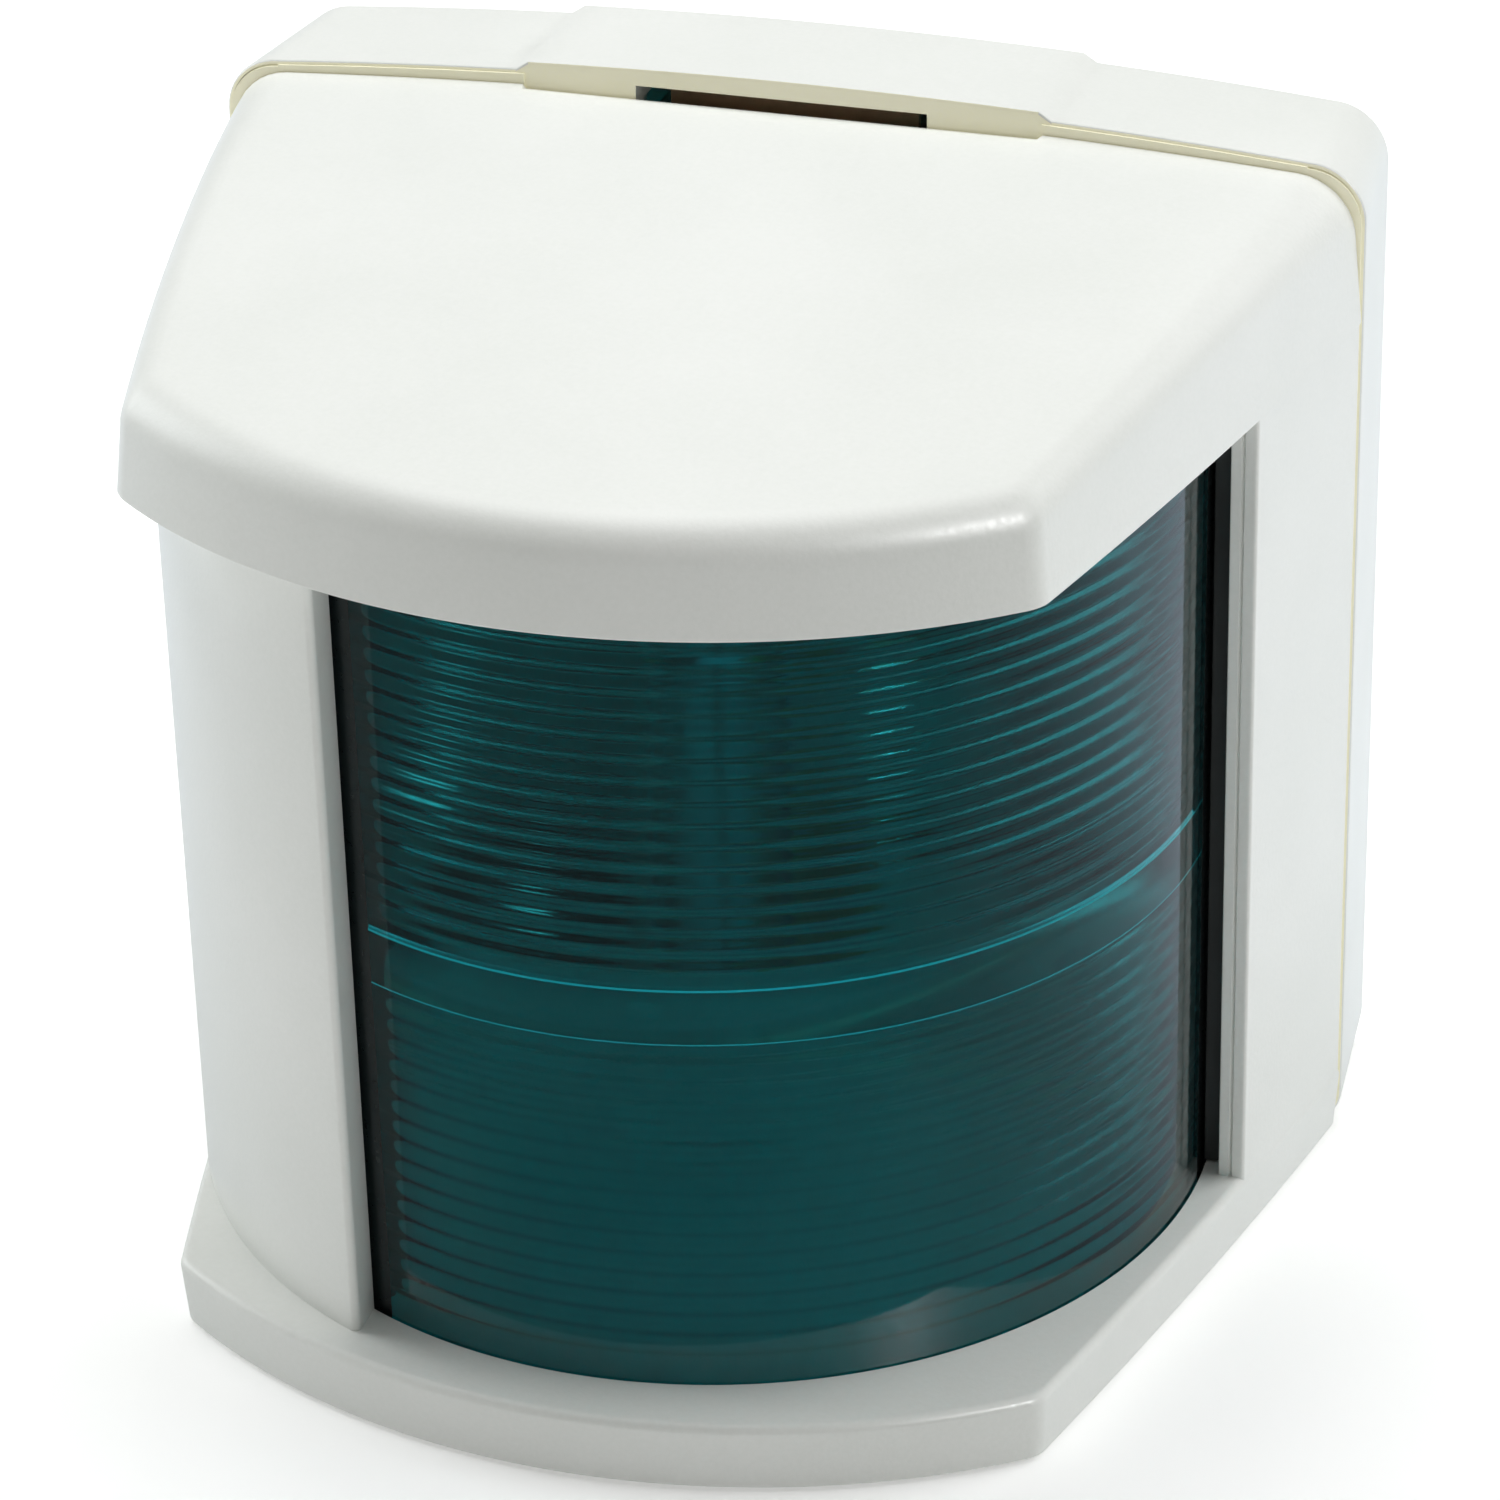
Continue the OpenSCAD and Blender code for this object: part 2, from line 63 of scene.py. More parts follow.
# cover: rear edge and half width there, front corners, depth of its floor and roof
COVER_Y, COVER_HALF = -13.75, 43.85
CORNER_HALF, CORNER_D = 33.1, 62.9
FLOOR_D, ROOF_D, FLOOR_T, SOFFIT = 74.0, 75.0, 5.6, 68.7
ROOF_REAR, ROOF_FRONT, ROOF_R, ROOF_REAR_R, CROWN = 81.4, 76.4, 2.8, 4.4, 1.65
SIDE_INSET, WINDOW_X, WINDOW_FORE = 0.12, -16.8, 91.0
HINGE_X, HINGE_Y, HINGE_Z = 30, -12, 1.6
TONGUE_X = 15.5

# lens: its axis and radii, the cheeks round it, the angles it spans, its band without prisms
AXIS_Y, LENS_R, LENS_IN, CHEEK_R, POCKET_R = -32.0, 37.0, 34.4, 40.2, 38.4
LENS_AFT, LENS_FORE, RIBS_AFT, RIBS_FORE = -30.0, 96.5, -24.2, 89.5
BAND_Z, BAND_HALF = 35.15, 2.15
LENS_LOW, LENS_TOP, RIBS_LOW, RIBS_TOP = 4.2, 69.9, 4.9, 69.0
LAMP_Z = 37.15


# ---------------------------------------------------------------------------
# Mesh helpers
# ---------------------------------------------------------------------------
def new_object(name, verts, faces):
    me = bpy.data.meshes.new(name)
    me.from_pydata([tuple(v) for v in verts], [], faces)
    ob = bpy.data.objects.new(name, me)
    bpy.context.scene.collection.objects.link(ob)
    bm = bmesh.new()
    bm.from_mesh(me)
    bmesh.ops.remove_doubles(bm, verts=bm.verts, dist=1e-5)
    bmesh.ops.recalc_face_normals(bm, faces=bm.faces)
    bm.to_mesh(me)
    bm.free()
    return ob


def combine(target, tool, how):
    """Applies an exact boolean of the tool to the target, then drops the tool."""
    mod = target.modifiers.new("op", "BOOLEAN")
    mod.operation, mod.object, mod.solver = how, tool, "EXACT"
    dg = bpy.context.evaluated_depsgraph_get()
    me = bpy.data.meshes.new_from_object(target.evaluated_get(dg))
    target.modifiers.clear()
    old, target.data = target.data, me
    bpy.data.meshes.remove(old)
    me = tool.data
    bpy.data.objects.remove(tool)
    bpy.data.meshes.remove(me)
    return target


def cut(target, *tools):
    for t in tools:
        combine(target, t, "DIFFERENCE")
    return target


def add(target, *tools):
    for t in tools:
        combine(target, t, "UNION")
    return target


def finish_piece(ob, name, body, mat, stands_for, sharp=32):
    """Names a piece, turns it into metres, shades it, and hangs it on its body in place of a
    CAD node."""
    ob.name = ob.data.name = name
    me = ob.data
    bm = bmesh.new()
    bm.from_mesh(me)
    bmesh.ops.dissolve_degenerate(bm, dist=1e-4, edges=bm.edges)
    bmesh.ops.triangulate(bm, faces=[f for f in bm.faces if len(f.verts) > 4])
    bm.to_mesh(me)
    bm.free()
    me.transform(Matrix.Translation((0, 0, UNDERSIDE / 1000)) @ Matrix.Scale(0.001, 4))
    me.polygons.foreach_set("use_smooth", [True] * len(me.polygons))
    me.set_sharp_from_angle(angle=math.radians(sharp))
    wn = ob.modifiers.new("shade", "WEIGHTED_NORMAL")
    wn.keep_sharp, wn.weight = True, 80
    me.materials.clear()
    me.materials.append(mat)
    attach(ob, body)
    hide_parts(stands_for)
    return ob


def lin(a, b, n):
    """n equal steps from a to b, both ends included."""
    return [a + (b - a) * i / n for i in range(n + 1)]


def tube_faces(n, rings, flip=False):
    """Faces of a closed tube through rings of n points each, its two end caps last."""
    sides = [(i * n + k, i * n + (k + 1) % n, (i + 1) * n + (k + 1) % n, (i + 1) * n + k)
             for i in range(rings - 1) for k in range(n)]
    caps = [tuple(range(n)), tuple(range((rings - 1) * n, rings * n))]
    caps[flip] = caps[flip][::-1]
    return sides + caps


def box(x0, x1, y0, y1, z0, z1, r=0.0):
    """Closed bar; its edges are rounded over three segments where r is given."""
    v = [(x, y, z) for x in (x0, x1) for y in (y0, y1) for z in (z0, z1)]
    f = [(0, 1, 3, 2), (4, 6, 7, 5), (0, 4, 5, 1), (2, 3, 7, 6), (0, 2, 6, 4), (1, 5, 7, 3)]
    ob = new_object("bar", v, f)
    if r:
        bm = bmesh.new()
        bm.from_mesh(ob.data)
        bmesh.ops.bevel(bm, geom=bm.edges[:], offset=r, segments=3, profile=0.5, affect="EDGES")
        bm.to_mesh(ob.data)
        bm.free()
    return ob


def swept(path, n=10):
    """Closed round tube along a path of (point, radius)."""
    v, side = [], Vector((0.9, 0.3, 0.1))
    for i, (p, r) in enumerate(path):
        ahead, behind = path[min(i + 1, len(path) - 1)][0], path[max(i - 1, 0)][0]
        t = (Vector(ahead) - Vector(behind)).normalized()
        side = (side - side.dot(t) * t).normalized()
        other = t.cross(side)
        for k in range(n):
            c = 2 * math.pi * k / n
            v.append(Vector(p) + r * (math.cos(c) * side + math.sin(c) * other))
    return new_object("tube", v, tube_faces(n, len(path)))


def prism(outline, z0, z1=0.0, hi=None):
    """Closed prism over a plan outline; hi may give each point its own top."""
    v = [(x, y, z0) for x, y in outline]
    v += [(x, y, hi(x, y) if hi else z1) for x, y in outline]
    return new_object("prism", v, tube_faces(len(outline), 2))


def turned(profile, start, end, n=24):
    """Body of revolution: profile is (radius, distance along), the axis runs from start to end."""
    a = Vector(end) - Vector(start)
    q = a.normalized().to_track_quat("Z", "Y").to_matrix()
    v = []
    for r, d in profile:
        for k in range(n):
            t = 2 * math.pi * k / n
            v.append(Vector(start) + q @ Vector((r * math.cos(t), r * math.sin(t), d)))
    return new_object("turned", v, tube_faces(n, len(profile)))


def rod(r, start, end, n=32, edge=0.0):
    """Round bar between two points; its ends are rounded where edge is given."""
    length = (Vector(end) - Vector(start)).length
    if edge:
        arc = [(r - edge * (1 - math.sin(a)), edge * (1 - math.cos(a)))
               for a in lin(0, math.pi / 2, 3)]
        prof = arc + [(x, length - d) for x, d in reversed(arc)]
    else:
        prof = [(r, 0), (r, length)]
    return turned(prof, start, end, n)


def rod_x(r, x0, x1, y, z, **kw):
    return rod(r, (x0, y, z), (x1, y, z), **kw)


def rod_y(r, x, z, y0, y1, **kw):
    return rod(r, (x, y0, z), (x, y1, z), **kw)


def along_y(sections):
    """Closed solid through sections, each (y, outline of (x, z))."""
    v = [(x, y, z) for y, line in sections for x, z in line]
    return new_object("along", v, tube_faces(len(sections[0][1]), len(sections), flip=True))


def along_x(section, x0, x1):
    """Closed bar from x0 to x1 with one section (y, z)."""
    v = [(x, y, z) for x in (x0, x1) for y, z in section]
    return new_object("across", v, tube_faces(len(section), 2))


# ---------------------------------------------------------------------------
# Plan and height of the cover
# ---------------------------------------------------------------------------
def side_x(y):
    """Half width of the plan at y, bulging by half a millimetre between the corners."""
    t = (y - COVER_Y) / (-CORNER_D - COVER_Y)
    return COVER_HALF + (CORNER_HALF - COVER_HALF) * t + 2.0 * t * (1 - t)


def arc_y(x, apex):
    """Front edge of the plan at x, an arc through both corners and the apex."""
    s = apex - CORNER_D
    r = (CORNER_HALF ** 2 + s * s) / (2 * s)
    return -apex + r - math.sqrt(r * r - x * x)


def chain(apex, soft=0.9, n_side=30, n_front=26):
    """Open outline from the rear right corner round the front to the rear left corner; soft is
    how far from the point of a front corner its rounding begins."""
    right = [(side_x(y), y) for y in lin(COVER_Y, -CORNER_D + soft, n_side)]
    p0, p1 = right[-1], (CORNER_HALF, -CORNER_D)
    p2 = (CORNER_HALF - soft, arc_y(CORNER_HALF - soft, apex))
    for t in lin(0, 1, 6)[1:]:
        right.append(tuple((1 - t) ** 2 * a + 2 * t * (1 - t) * b + t * t * c
                           for a, b, c in zip(p0, p1, p2)))
    right += [(x, arc_y(x, apex)) for x in lin(p2[0], 0, n_front)[1:]]
    return right + [(-x, y) for x, y in reversed(right[:-1])]


def shrink(points, d):
    """Plan points drawn in by d at the sides and about as much in front."""
    return [(x * (1 - d / COVER_HALF), COVER_Y + (y - COVER_Y) * (1 - d / 60)) for x, y in points]


def roof_z(x, y):
    """Level along the front edge, lightly crowned at the rear."""
    t = min(1.1, (COVER_Y - y) / (COVER_Y - arc_y(min(abs(x), 46), ROOF_D)))
    fall = (ROOF_REAR - ROOF_FRONT) * (0.55 * t + 0.45 * t * t)
    return ROOF_REAR - fall - CROWN * (x / COVER_HALF) ** 2 * max(0, 1 - t)


def edge_r(y):
    """Radius of the roof's upper edge, larger at the rear corners."""
    return ROOF_R + (ROOF_REAR_R - ROOF_R) * max(0.0, 1 - (COVER_Y - y) / 40) ** 1.5


def stacked(rings, top_rows=None):
    """Closed solid from open chains of points, one above the other, flat along the rear.
    top_rows is the number of spans across the crown, or None for a flat top."""
    n = len(rings[0])
    v = [p for ring in rings for p in ring]
    f = []
    for k in range(len(rings) - 1):
        for i in range(n - 1):
            a = k * n + i
            f.append((a, a + 1, a + 1 + n, a + n))
    base = (len(rings) - 1) * n
    rear_top = []
    if top_rows:
        half = n // 2
        grid = []
        for i in range(half):
            a, b = v[base + i], v[base + n - 1 - i]
            row = [base + i]
            for s in range(1, top_rows):
                u = s / top_rows
                x = a[0] + (b[0] - a[0]) * u
                v.append((x, a[1], roof_z(x, a[1])))
                row.append(len(v) - 1)
            grid.append(row + [base + n - 1 - i])
        for i in range(half - 1):
            for s in range(top_rows):
                f.append((grid[i][s], grid[i][s + 1], grid[i + 1][s + 1], grid[i + 1][s]))
        last = grid[-1]
        for s in range(top_rows):
            f.append((last[s], last[s + 1], base + half))
        rear_top = grid[0][1:-1]
    else:
        f.append(tuple(base + i for i in range(n)))
    f.append(tuple(range(n - 1, -1, -1)))
    right = [k * n for k in range(len(rings))]
    left = [k * n + n - 1 for k in reversed(range(len(rings)))]
    f.append(tuple(right + rear_top + left))
    return new_object("stack", v, f)


def roof_solid():
    plan = chain(ROOF_D)
    # the lower edge is rounded over two steps, the upper one over nine
    rings = [[(x, y, SOFFIT) for x, y in shrink(plan, 0.25)],
             [(x, y, SOFFIT + 0.08) for x, y in shrink(plan, 0.07)],
             [(x, y, SOFFIT + 0.25) for x, y in plan]]
    lean = 0.55
    for a in lin(0, math.pi / 2, 9):
        ring = []
        for point in plan:
            r = edge_r(point[1])
            x, y = shrink([point], lean + r * (1 - math.cos(a)))[0]
            ring.append((x, y, roof_z(x, y) - r * (1 - math.sin(a))))
        rings.append(ring)
    return stacked(rings, top_rows=40)


def floor_solid():
    plan = chain(FLOOR_D, soft=0.7)
    low_r, lean, top_r = 0.4, 0.35, 0.7
    rings = [[(x, y, low_r * (1 - math.sin(a)))
              for x, y in shrink(plan, lean + low_r * (1 - math.cos(a)))]
             for a in reversed(lin(0, math.pi / 2, 3))]
    rings += [[(x, y, FLOOR_T - top_r * (1 - math.sin(a)))
               for x, y in shrink(plan, top_r * (1 - math.cos(a)))]
              for a in lin(0, math.pi / 2, 5)]
    return stacked(rings)


def rounded(points, radii, n=5):
    """Closed outline with the given corner radius at each point (0 leaves it sharp)."""
    out = []
    m = len(points)
    for i, (p, r) in enumerate(zip(points, radii)):
        if not r:
            out.append(p)
            continue
        p = Vector(p)
        a = (Vector(points[i - 1]) - p).normalized()
        b = (Vector(points[(i + 1) % m]) - p).normalized()
        half = a.angle(b) / 2
        t = r / math.tan(half)
        c = p + (a + b).normalized() * (r / math.sin(half))
        u, w = p + a * t - c, p + b * t - c
        ang = u.angle_signed(w)
        for k in range(n + 1):
            q = c + Matrix.Rotation(-ang * k / n, 2) @ u
            out.append((q.x, q.y))
    return out


def on_axis(r, deg):
    """Point in plan at an angle from the outward direction towards +X."""
    a = math.radians(deg)
    return (r * math.sin(a), AXIS_Y - r * math.cos(a))


def outer_x(y):
    """Outer face of the side walls and cheeks."""
    plan = side_x(y) * (1 - SIDE_INSET / COVER_HALF)
    if y > AXIS_Y:
        return plan
    return min(plan, math.sqrt(max(0.0, CHEEK_R ** 2 - (y - AXIS_Y) ** 2)))


def cheek(side):
    """Wall of one side in plan: outer face, the edge of the window, and back inside."""
    z0, z1 = FLOOR_T - 1, SOFFIT + 1
    inner = LENS_R - 1.5
    if side < 0:
        outer = [(-outer_x(y), y) for y in lin(COVER_Y, -50, 24)]
        a0 = math.degrees(math.asin(outer[-1][0] / CHEEK_R))
        a1 = math.degrees(math.asin(WINDOW_X / CHEEK_R))
        outer += [on_axis(CHEEK_R, a) for a in lin(a0, a1, 22)[1:]]
        y_in = AXIS_Y - math.sqrt(inner ** 2 - WINDOW_X ** 2)
        pts = outer + [(WINDOW_X, y_in)]
        radii = [0] * (len(outer) - 1) + [0.45, 0]
        b1 = math.degrees(math.asin(WINDOW_X / inner))
        back = [on_axis(inner, a) for a in lin(b1, -90, 20)[1:]]
        pts += back + [(-inner, COVER_Y)]
        radii += [0] * (len(back) + 1)
    else:
        y_tip = on_axis(CHEEK_R, WINDOW_FORE)[1]
        outer = [(outer_x(y), y) for y in lin(COVER_Y, y_tip, 14)]
        g = 39.3  # groove where the lens holder meets the housing
        pocket = [on_axis(POCKET_R, a) for a in lin(WINDOW_FORE, WINDOW_FORE + 9, 6)]
        pts = outer + [(g + 0.15, y_tip), (g, y_tip + 0.3), (g - 0.15, y_tip)] + pocket
        radii = [0] * (len(outer) - 1) + [0.35, 0, 0, 0, 0.12] + [0] * (len(pocket) - 1)
        pts += [on_axis(inner, WINDOW_FORE + 9), (inner, COVER_Y)]
        radii += [0, 0]
    return prism(rounded(pts, radii), z0, z1)


def cavity_tools():
    """Hollow of the cover: round behind the lens, straight behind that. The second ceiling is a
    hair lower, because two cuts that share a plane leave torn edges."""
    top = lambda x, y: 78.0 - (COVER_Y - y) * 5.4 / 66.25
    r, y_mid, y_rear = LENS_R + 0.15, -19, -8
    a_end = math.degrees(math.acos(-13.1 / r))
    disc = [on_axis(r, a) for a in lin(-a_end, a_end, 150)]
    right = [(side_x(y_mid) - WALL, y_mid), (COVER_HALF - WALL, COVER_Y),
             (COVER_HALF - WALL, y_rear)]
    rear = right + [(-x, y) for x, y in reversed(right)]
    return [prism(disc, LENS_LOW - 0.8, hi=top),
            prism(rear, FLOOR_T, hi=lambda x, y: top(x, y) - 0.02)]


def recess_tool():
    """Wedge that dips the roof's rear edge in front of the tool slot; its ends are ramps."""
    low, run, slope = ROOF_REAR - 0.7, 3.2, math.tan(math.radians(16))
    half, ramp, flare, height = TAB_HALF + 0.9, 0.8, 1.2, 2.4
    y0, y1 = COVER_Y + 0.5, COVER_Y - run
    z0, z1 = low - 0.5 * slope, low + run * slope + 0.1
    v = [(-half + ramp, y0, z0), (half - ramp, y0, z0), (half - ramp, y1, z1),
         (-half + ramp, y1, z1), (-half - flare, y0, z0 + height), (half + flare, y0, z0 + height),
         (half + flare, y1, z1 + height), (-half - flare, y1, z1 + height)]
    f = [(0, 3, 2, 1), (4, 5, 6, 7), (0, 1, 5, 4), (1, 2, 6, 5), (2, 3, 7, 6), (3, 0, 4, 7)]
    return new_object("wedge", v, f)


def build_cover(mat):
    ob = add(roof_solid(), floor_solid(), cheek(-1), cheek(1))
    cut(ob, *cavity_tools(), recess_tool())
    for x in (-HINGE_X, HINGE_X):    # hinge lugs
        add(ob, box(x - 3, x + 3, COVER_Y - 2, HINGE_Y, 0.4, 2.8),
            rod_x(1.6, x - 2.97, x + 2.97, HINGE_Y, HINGE_Z))
        cut(ob, rod_x(0.85, x - 4, x + 4, HINGE_Y, HINGE_Z, n=16))
    for x in (-TONGUE_X, TONGUE_X):  # tongues that the clip holds
        add(ob, box(x - 2.7, x + 2.7, COVER_Y - 3, -6.3, 77.6, 78.9),
            box(x - 2.6, x + 2.6, -9.0, -6.35, 76.6, 78))
    for x in (-10, 10):              # drain holes
        cut(ob, rod(1.5, (x, -24, -1), (x, -24, 7)))
    return finish_piece(ob, "cover_shell", "cover", mat, "cover_housing")


# ---------------------------------------------------------------------------
# Rear housing
# ---------------------------------------------------------------------------
def elevation(d):
    """Closed outline (x, z) of the rear housing, inset by d."""
    arch = lambda x: BASE_H - x * x / ARCH - d
    r_top, r_low = BASE_R_TOP - min(d, 3), BASE_R_LOW - min(d, 2)
    side = BASE_HALF - d
    top_x, low_x, low_z = side - r_top, side - r_low, d + r_low
    top_z = arch(top_x) - r_top
    right = [(low_x + r_low * math.sin(a), low_z - r_low * math.cos(a))
             for a in lin(0, math.pi / 2, 8)]
    right += [(side, z) for z in lin(low_z, top_z, 10)[1:-1]]
    right += [(top_x + r_top * math.cos(a), top_z + r_top * math.sin(a))
              for a in lin(0, math.pi / 2, 12)]
    right += [(x, arch(x)) for x in lin(top_x, 0, 16)[1:]]
    return right + [(-x, z) for x, z in reversed(right[:-1])]


def draft(y, z):
    """Height of a point of the rear housing: its upper part falls a little to the bulkhead."""
    return z - 0.65 * (y + BASE_D) / BASE_D * min(1.0, max(0.0, z / 60 - 0.3))


def base_section(y, d):
    """Outline of the rear housing at y, inset by d; it narrows towards the bulkhead."""
    k = 1 - (1 - BASE_BACK_HALF / BASE_HALF) * (y + BASE_D) / BASE_D
    return (y, [(x * k, draft(y, z)) for x, z in elevation(d)])


def slot_block_section(y, drop):
    """Outline of the raised block with the tool slot at y, its top lowered by drop."""
    foot = TAB_HALF + 1.2
    top = [(x, BASE_H + TAB_RISE - x * x / ARCH) for x in lin(TAB_HALF, -TAB_HALF, 16)]
    line = [(-foot, 79.4), (foot, 79.4), (foot, 82.0)] + top + [(-foot, 82.0)]
    return (y, [(x, draft(y, z) - (drop if z > 80 else 0)) for x, z in line])


def build_base(mat, joint_face_painted_glow):
    front_r, back_r = 0.3, 0.4
    sections = [base_section(-BASE_D + front_r * (1 - math.cos(a)), front_r * (1 - math.sin(a)))
                for a in lin(0, math.pi / 2, 3)]
    sections += [base_section(y, 0) for y in lin(-12, -1.5, 3)]
    sections += [base_section(-back_r * (1 - math.cos(a)), back_r * (1 - math.sin(a)))
                 for a in lin(math.pi / 2, 0, 3)]
    ob = along_y(sections)
    add(ob, along_y([slot_block_section(-BASE_D + d, drop)
                     for d, drop in ((0, 0.25), (0.08, 0.08), (0.25, 0))]
                    + [slot_block_section(-0.3, 0), slot_block_section(0, 0.3)]))
    # spigot that the cover closes over, and the hollow
    spigot = box(-40.2, 40.2, -17, -11, 7, 76.0, r=0.35)
    cut(spigot, box(-38.6, 38.6, -18, 0, 0, 74.4))
    add(ob, spigot)
    cut(ob, along_y([(-11.7, elevation(WALL)), (-2.5, elevation(WALL))]),
        box(-38.6, 38.6, -14.5, -10.5, 6, 74.4))
    for x in (-32, 32):              # fixing holes
        for z in (28, 62):
            add(ob, rod_y(5, x, z, -2, -4, n=40, edge=0.3))
            cut(ob, rod_y(2.2, x, z, 1, -5, n=40))
    for z in (11, 63.3):             # bosses of the lamp carrier
        add(ob, rod_y(3.4, 0, z, -2, -6, edge=0.3))
        cut(ob, rod_y(1.4, 0, z, -1.6, -7, n=20))
    # collar of the cable hole
    add(ob, rod_y(8.5, -24, 18, -2, -4, n=48, edge=0.3))
    cut(ob, rod_y(6, -24, 18, 1, -5, n=48))
    for x in (-HINGE_X, HINGE_X):    # hinge pockets
        add(ob, box(x - 7, x + 7, -13.3, -8.8, 1.0, 5, r=0.2))
        cut(ob, box(x - 3.3, x + 3.3, -14.5, -9.9, -1, 3.7),
            rod_x(0.8, x - 6, x + 6, HINGE_Y, HINGE_Z, n=16))
    for x in (-12.1, 9.9):           # ears of the clip's pin
        add(ob, box(x, x + 2.2, -6.2, -1, 72.6, 77.2, r=0.2))
    cut(ob, rod_x(0.75, -12.6, 12.6, -4.2, 74.9, n=16))
    # tool slot, and the slots of the cover's tongues
    cut(ob, box(-11.2, 11.2, -14.5, -8.5, 79.7, 81.7), box(-11.2, 11.2, -11.2, -8.5, 78.6, 80.7))
    for x in (-TONGUE_X, TONGUE_X):
        cut(ob, box(x - 3.3, x + 3.3, -14.5, -11.6, 76.3, 79.5))
    # relief under the front edge, drain holes, grooves of the back seal and the cover's seal
    cut(ob, along_x([(-13.5, 0.9), (-12.6, 0.0), (-12.6, -1), (-14.5, -1), (-14.5, 0.9)], -50, 50))
    for x in (-12, 12):
        cut(ob, rod(1.5, (x, -7, -1), (x, -7, 5)))
    ring = along_y([(-1.2, frame_line(39.4, 36.6, 6)), (1, frame_line(39.4, 36.6, 6))])
    cut(ring, along_y([(-2, frame_line(37.4, 34.6, 4)), (2, frame_line(37.4, 34.6, 4))]))
    cut(ob, ring, seal_solid(-BASE_D + 0.6, -BASE_D - 1))
    finish_piece(ob, "base_shell", "base", mat, "base_housing")
    # the face towards the cover is painted cream and made to glow a little: painted warm bounce
    # light in the seam's shade
    ob.data.materials.append(joint_face_painted_glow)
    for face in ob.data.polygons:
        if face.normal.y < -0.9 and abs(face.center.y * 1000 + BASE_D) < 0.25:
            face.material_index = 1
    return ob


def frame_line(hx, hz, r, zc=41.0, n=8):
    """Closed rectangle (x, z) with round corners: half width, half height, corner radius."""
    out = []
    for k, (sx, sz) in enumerate(((1, -1), (1, 1), (-1, 1), (-1, -1))):
        for a in lin(k * 90 - 90, k * 90, n):
            out.append((sx * (hx - r) + r * math.cos(math.radians(a)),
                        zc + sz * (hz - r) + r * math.sin(math.radians(a))))
    return out


def seal_solid(y0, y1):
    """Seal between the housings; it stops at both sides of the slot block."""
    keep = lambda line, z0: [(x, max(z, z0)) for x, z in line]
    ring = along_y([(y1, keep(elevation(0.35), 3.8)), (y0, keep(elevation(0.35), 3.8))])
    cut(ring, along_y([(y1 - 1, keep(elevation(2.0), 5.2)), (y0 + 1, keep(elevation(2.0), 5.2))]),
        box(-TAB_HALF - 0.9, TAB_HALF + 0.9, -20, 0, 60, 100))
    return ring


# ---------------------------------------------------------------------------
# Lens
# ---------------------------------------------------------------------------
def lens_inner():
    """Inside of the lens from bottom to top, as (radius, z): rounded prisms round a bull's-eye
    band that has a ledge at both edges, deeper towards the top."""
    pitch, steps = 1.7, 8
    root = LENS_IN + 0.1

    def prisms(side, near, far):
        start = BAND_Z + side * BAND_HALF
        count = int(((RIBS_TOP if side > 0 else RIBS_LOW) - start) / (side * pitch))
        rows = []
        for k in range(count):
            depth = near + (far - near) * k / (count - 1)
            for s in range(steps):
                z = start + side * (k + s / steps) * pitch
                rows.append((root - depth / 2 * (1 - math.cos(2 * math.pi * s / steps)), z))
        return rows

    band = [(root - 0.24 + 0.11 * (1 + s) - 0.2 * (1 - s * s), BAND_Z + s * BAND_HALF)
            for s in lin(-1, 1, 12)]
    top = BAND_Z + BAND_HALF
    ledge = [(root - 0.42, top + 0.03), (root - 0.36, top + 0.4), (root - 0.1, top + 1.2)]
    return prisms(-1, 0.10, 0.16)[::-1], band, ledge + prisms(1, 0.205, 0.235)[steps:]


def build_lens(mat, inside, flange_dark, ledge):
    down, band, up = lens_inner()
    ribs = [p for p in down + band + up if RIBS_LOW < p[1] < RIBS_TOP + 0.2]
    smooth_r = LENS_IN + 0.1
    z0, z1, e = LENS_LOW, LENS_TOP, 0.35
    outer = [(LENS_R - e, z1), (LENS_R - e * 0.3, z1 - e * 0.3), (LENS_R, z1 - e),
             (LENS_R, z0 + e), (LENS_R - e * 0.3, z0 + e * 0.3), (LENS_R - e, z0)]
    rows = [(smooth_r + e, z0), (smooth_r, z0 + e), *ribs,
            (smooth_r, z1 - e), (smooth_r + e, z1)]
    plain = [(smooth_r if 1 < i < len(rows) - 2 else r, z) for i, (r, z) in enumerate(rows)]
    # plain flanges at both ends lie a little under the ribbed part
    flange = [(r - 0.3, z) for r, z in outer]
    cols = [(LENS_AFT, plain, flange), (-27.4, plain, flange)]
    cols += [(a, rows, flange) for a in lin(-27.3, RIBS_AFT - 0.25, 6)]
    cols += [(a, rows, outer) for a in lin(RIBS_AFT, RIBS_FORE, 150)]
    cols += [(a, rows, flange) for a in lin(RIBS_FORE + 0.25, LENS_FORE - 1.2, 8)]
    cols += [(LENS_FORE - 1.0, plain, flange), (LENS_FORE, plain, flange)]
    v = [(*on_axis(r, a), z) for a, inner, skin in cols for r, z in inner + skin]
    ob = new_object("sector", v, tube_faces(len(rows) + len(outer), len(cols), flip=True))
    finish_piece(ob, "lens_ribbed", "cover", mat, "lens", sharp=30)
    # mat stays on the outer surface between the flanges
    for m in (inside, flange_dark, ledge):
        ob.data.materials.append(m)
    for face in ob.data.polygons:
        x, y = face.center.x * 1000, face.center.y * 1000 - AXIS_Y
        around = math.degrees(math.atan2(x, -y))
        from_band = abs(face.center.z * 1000 - UNDERSIDE - BAND_Z)
        if math.hypot(x, y) < LENS_IN + 0.3:
            # flat ledges at the band's edges get the glowing material, a painted highlight
            flat = abs(face.normal.z) > 0.9 and abs(from_band - BAND_HALF) < 0.1
            face.material_index = 3 if flat else 1
        elif not RIBS_AFT < around < RIBS_FORE:
            face.material_index = 2
    return ob


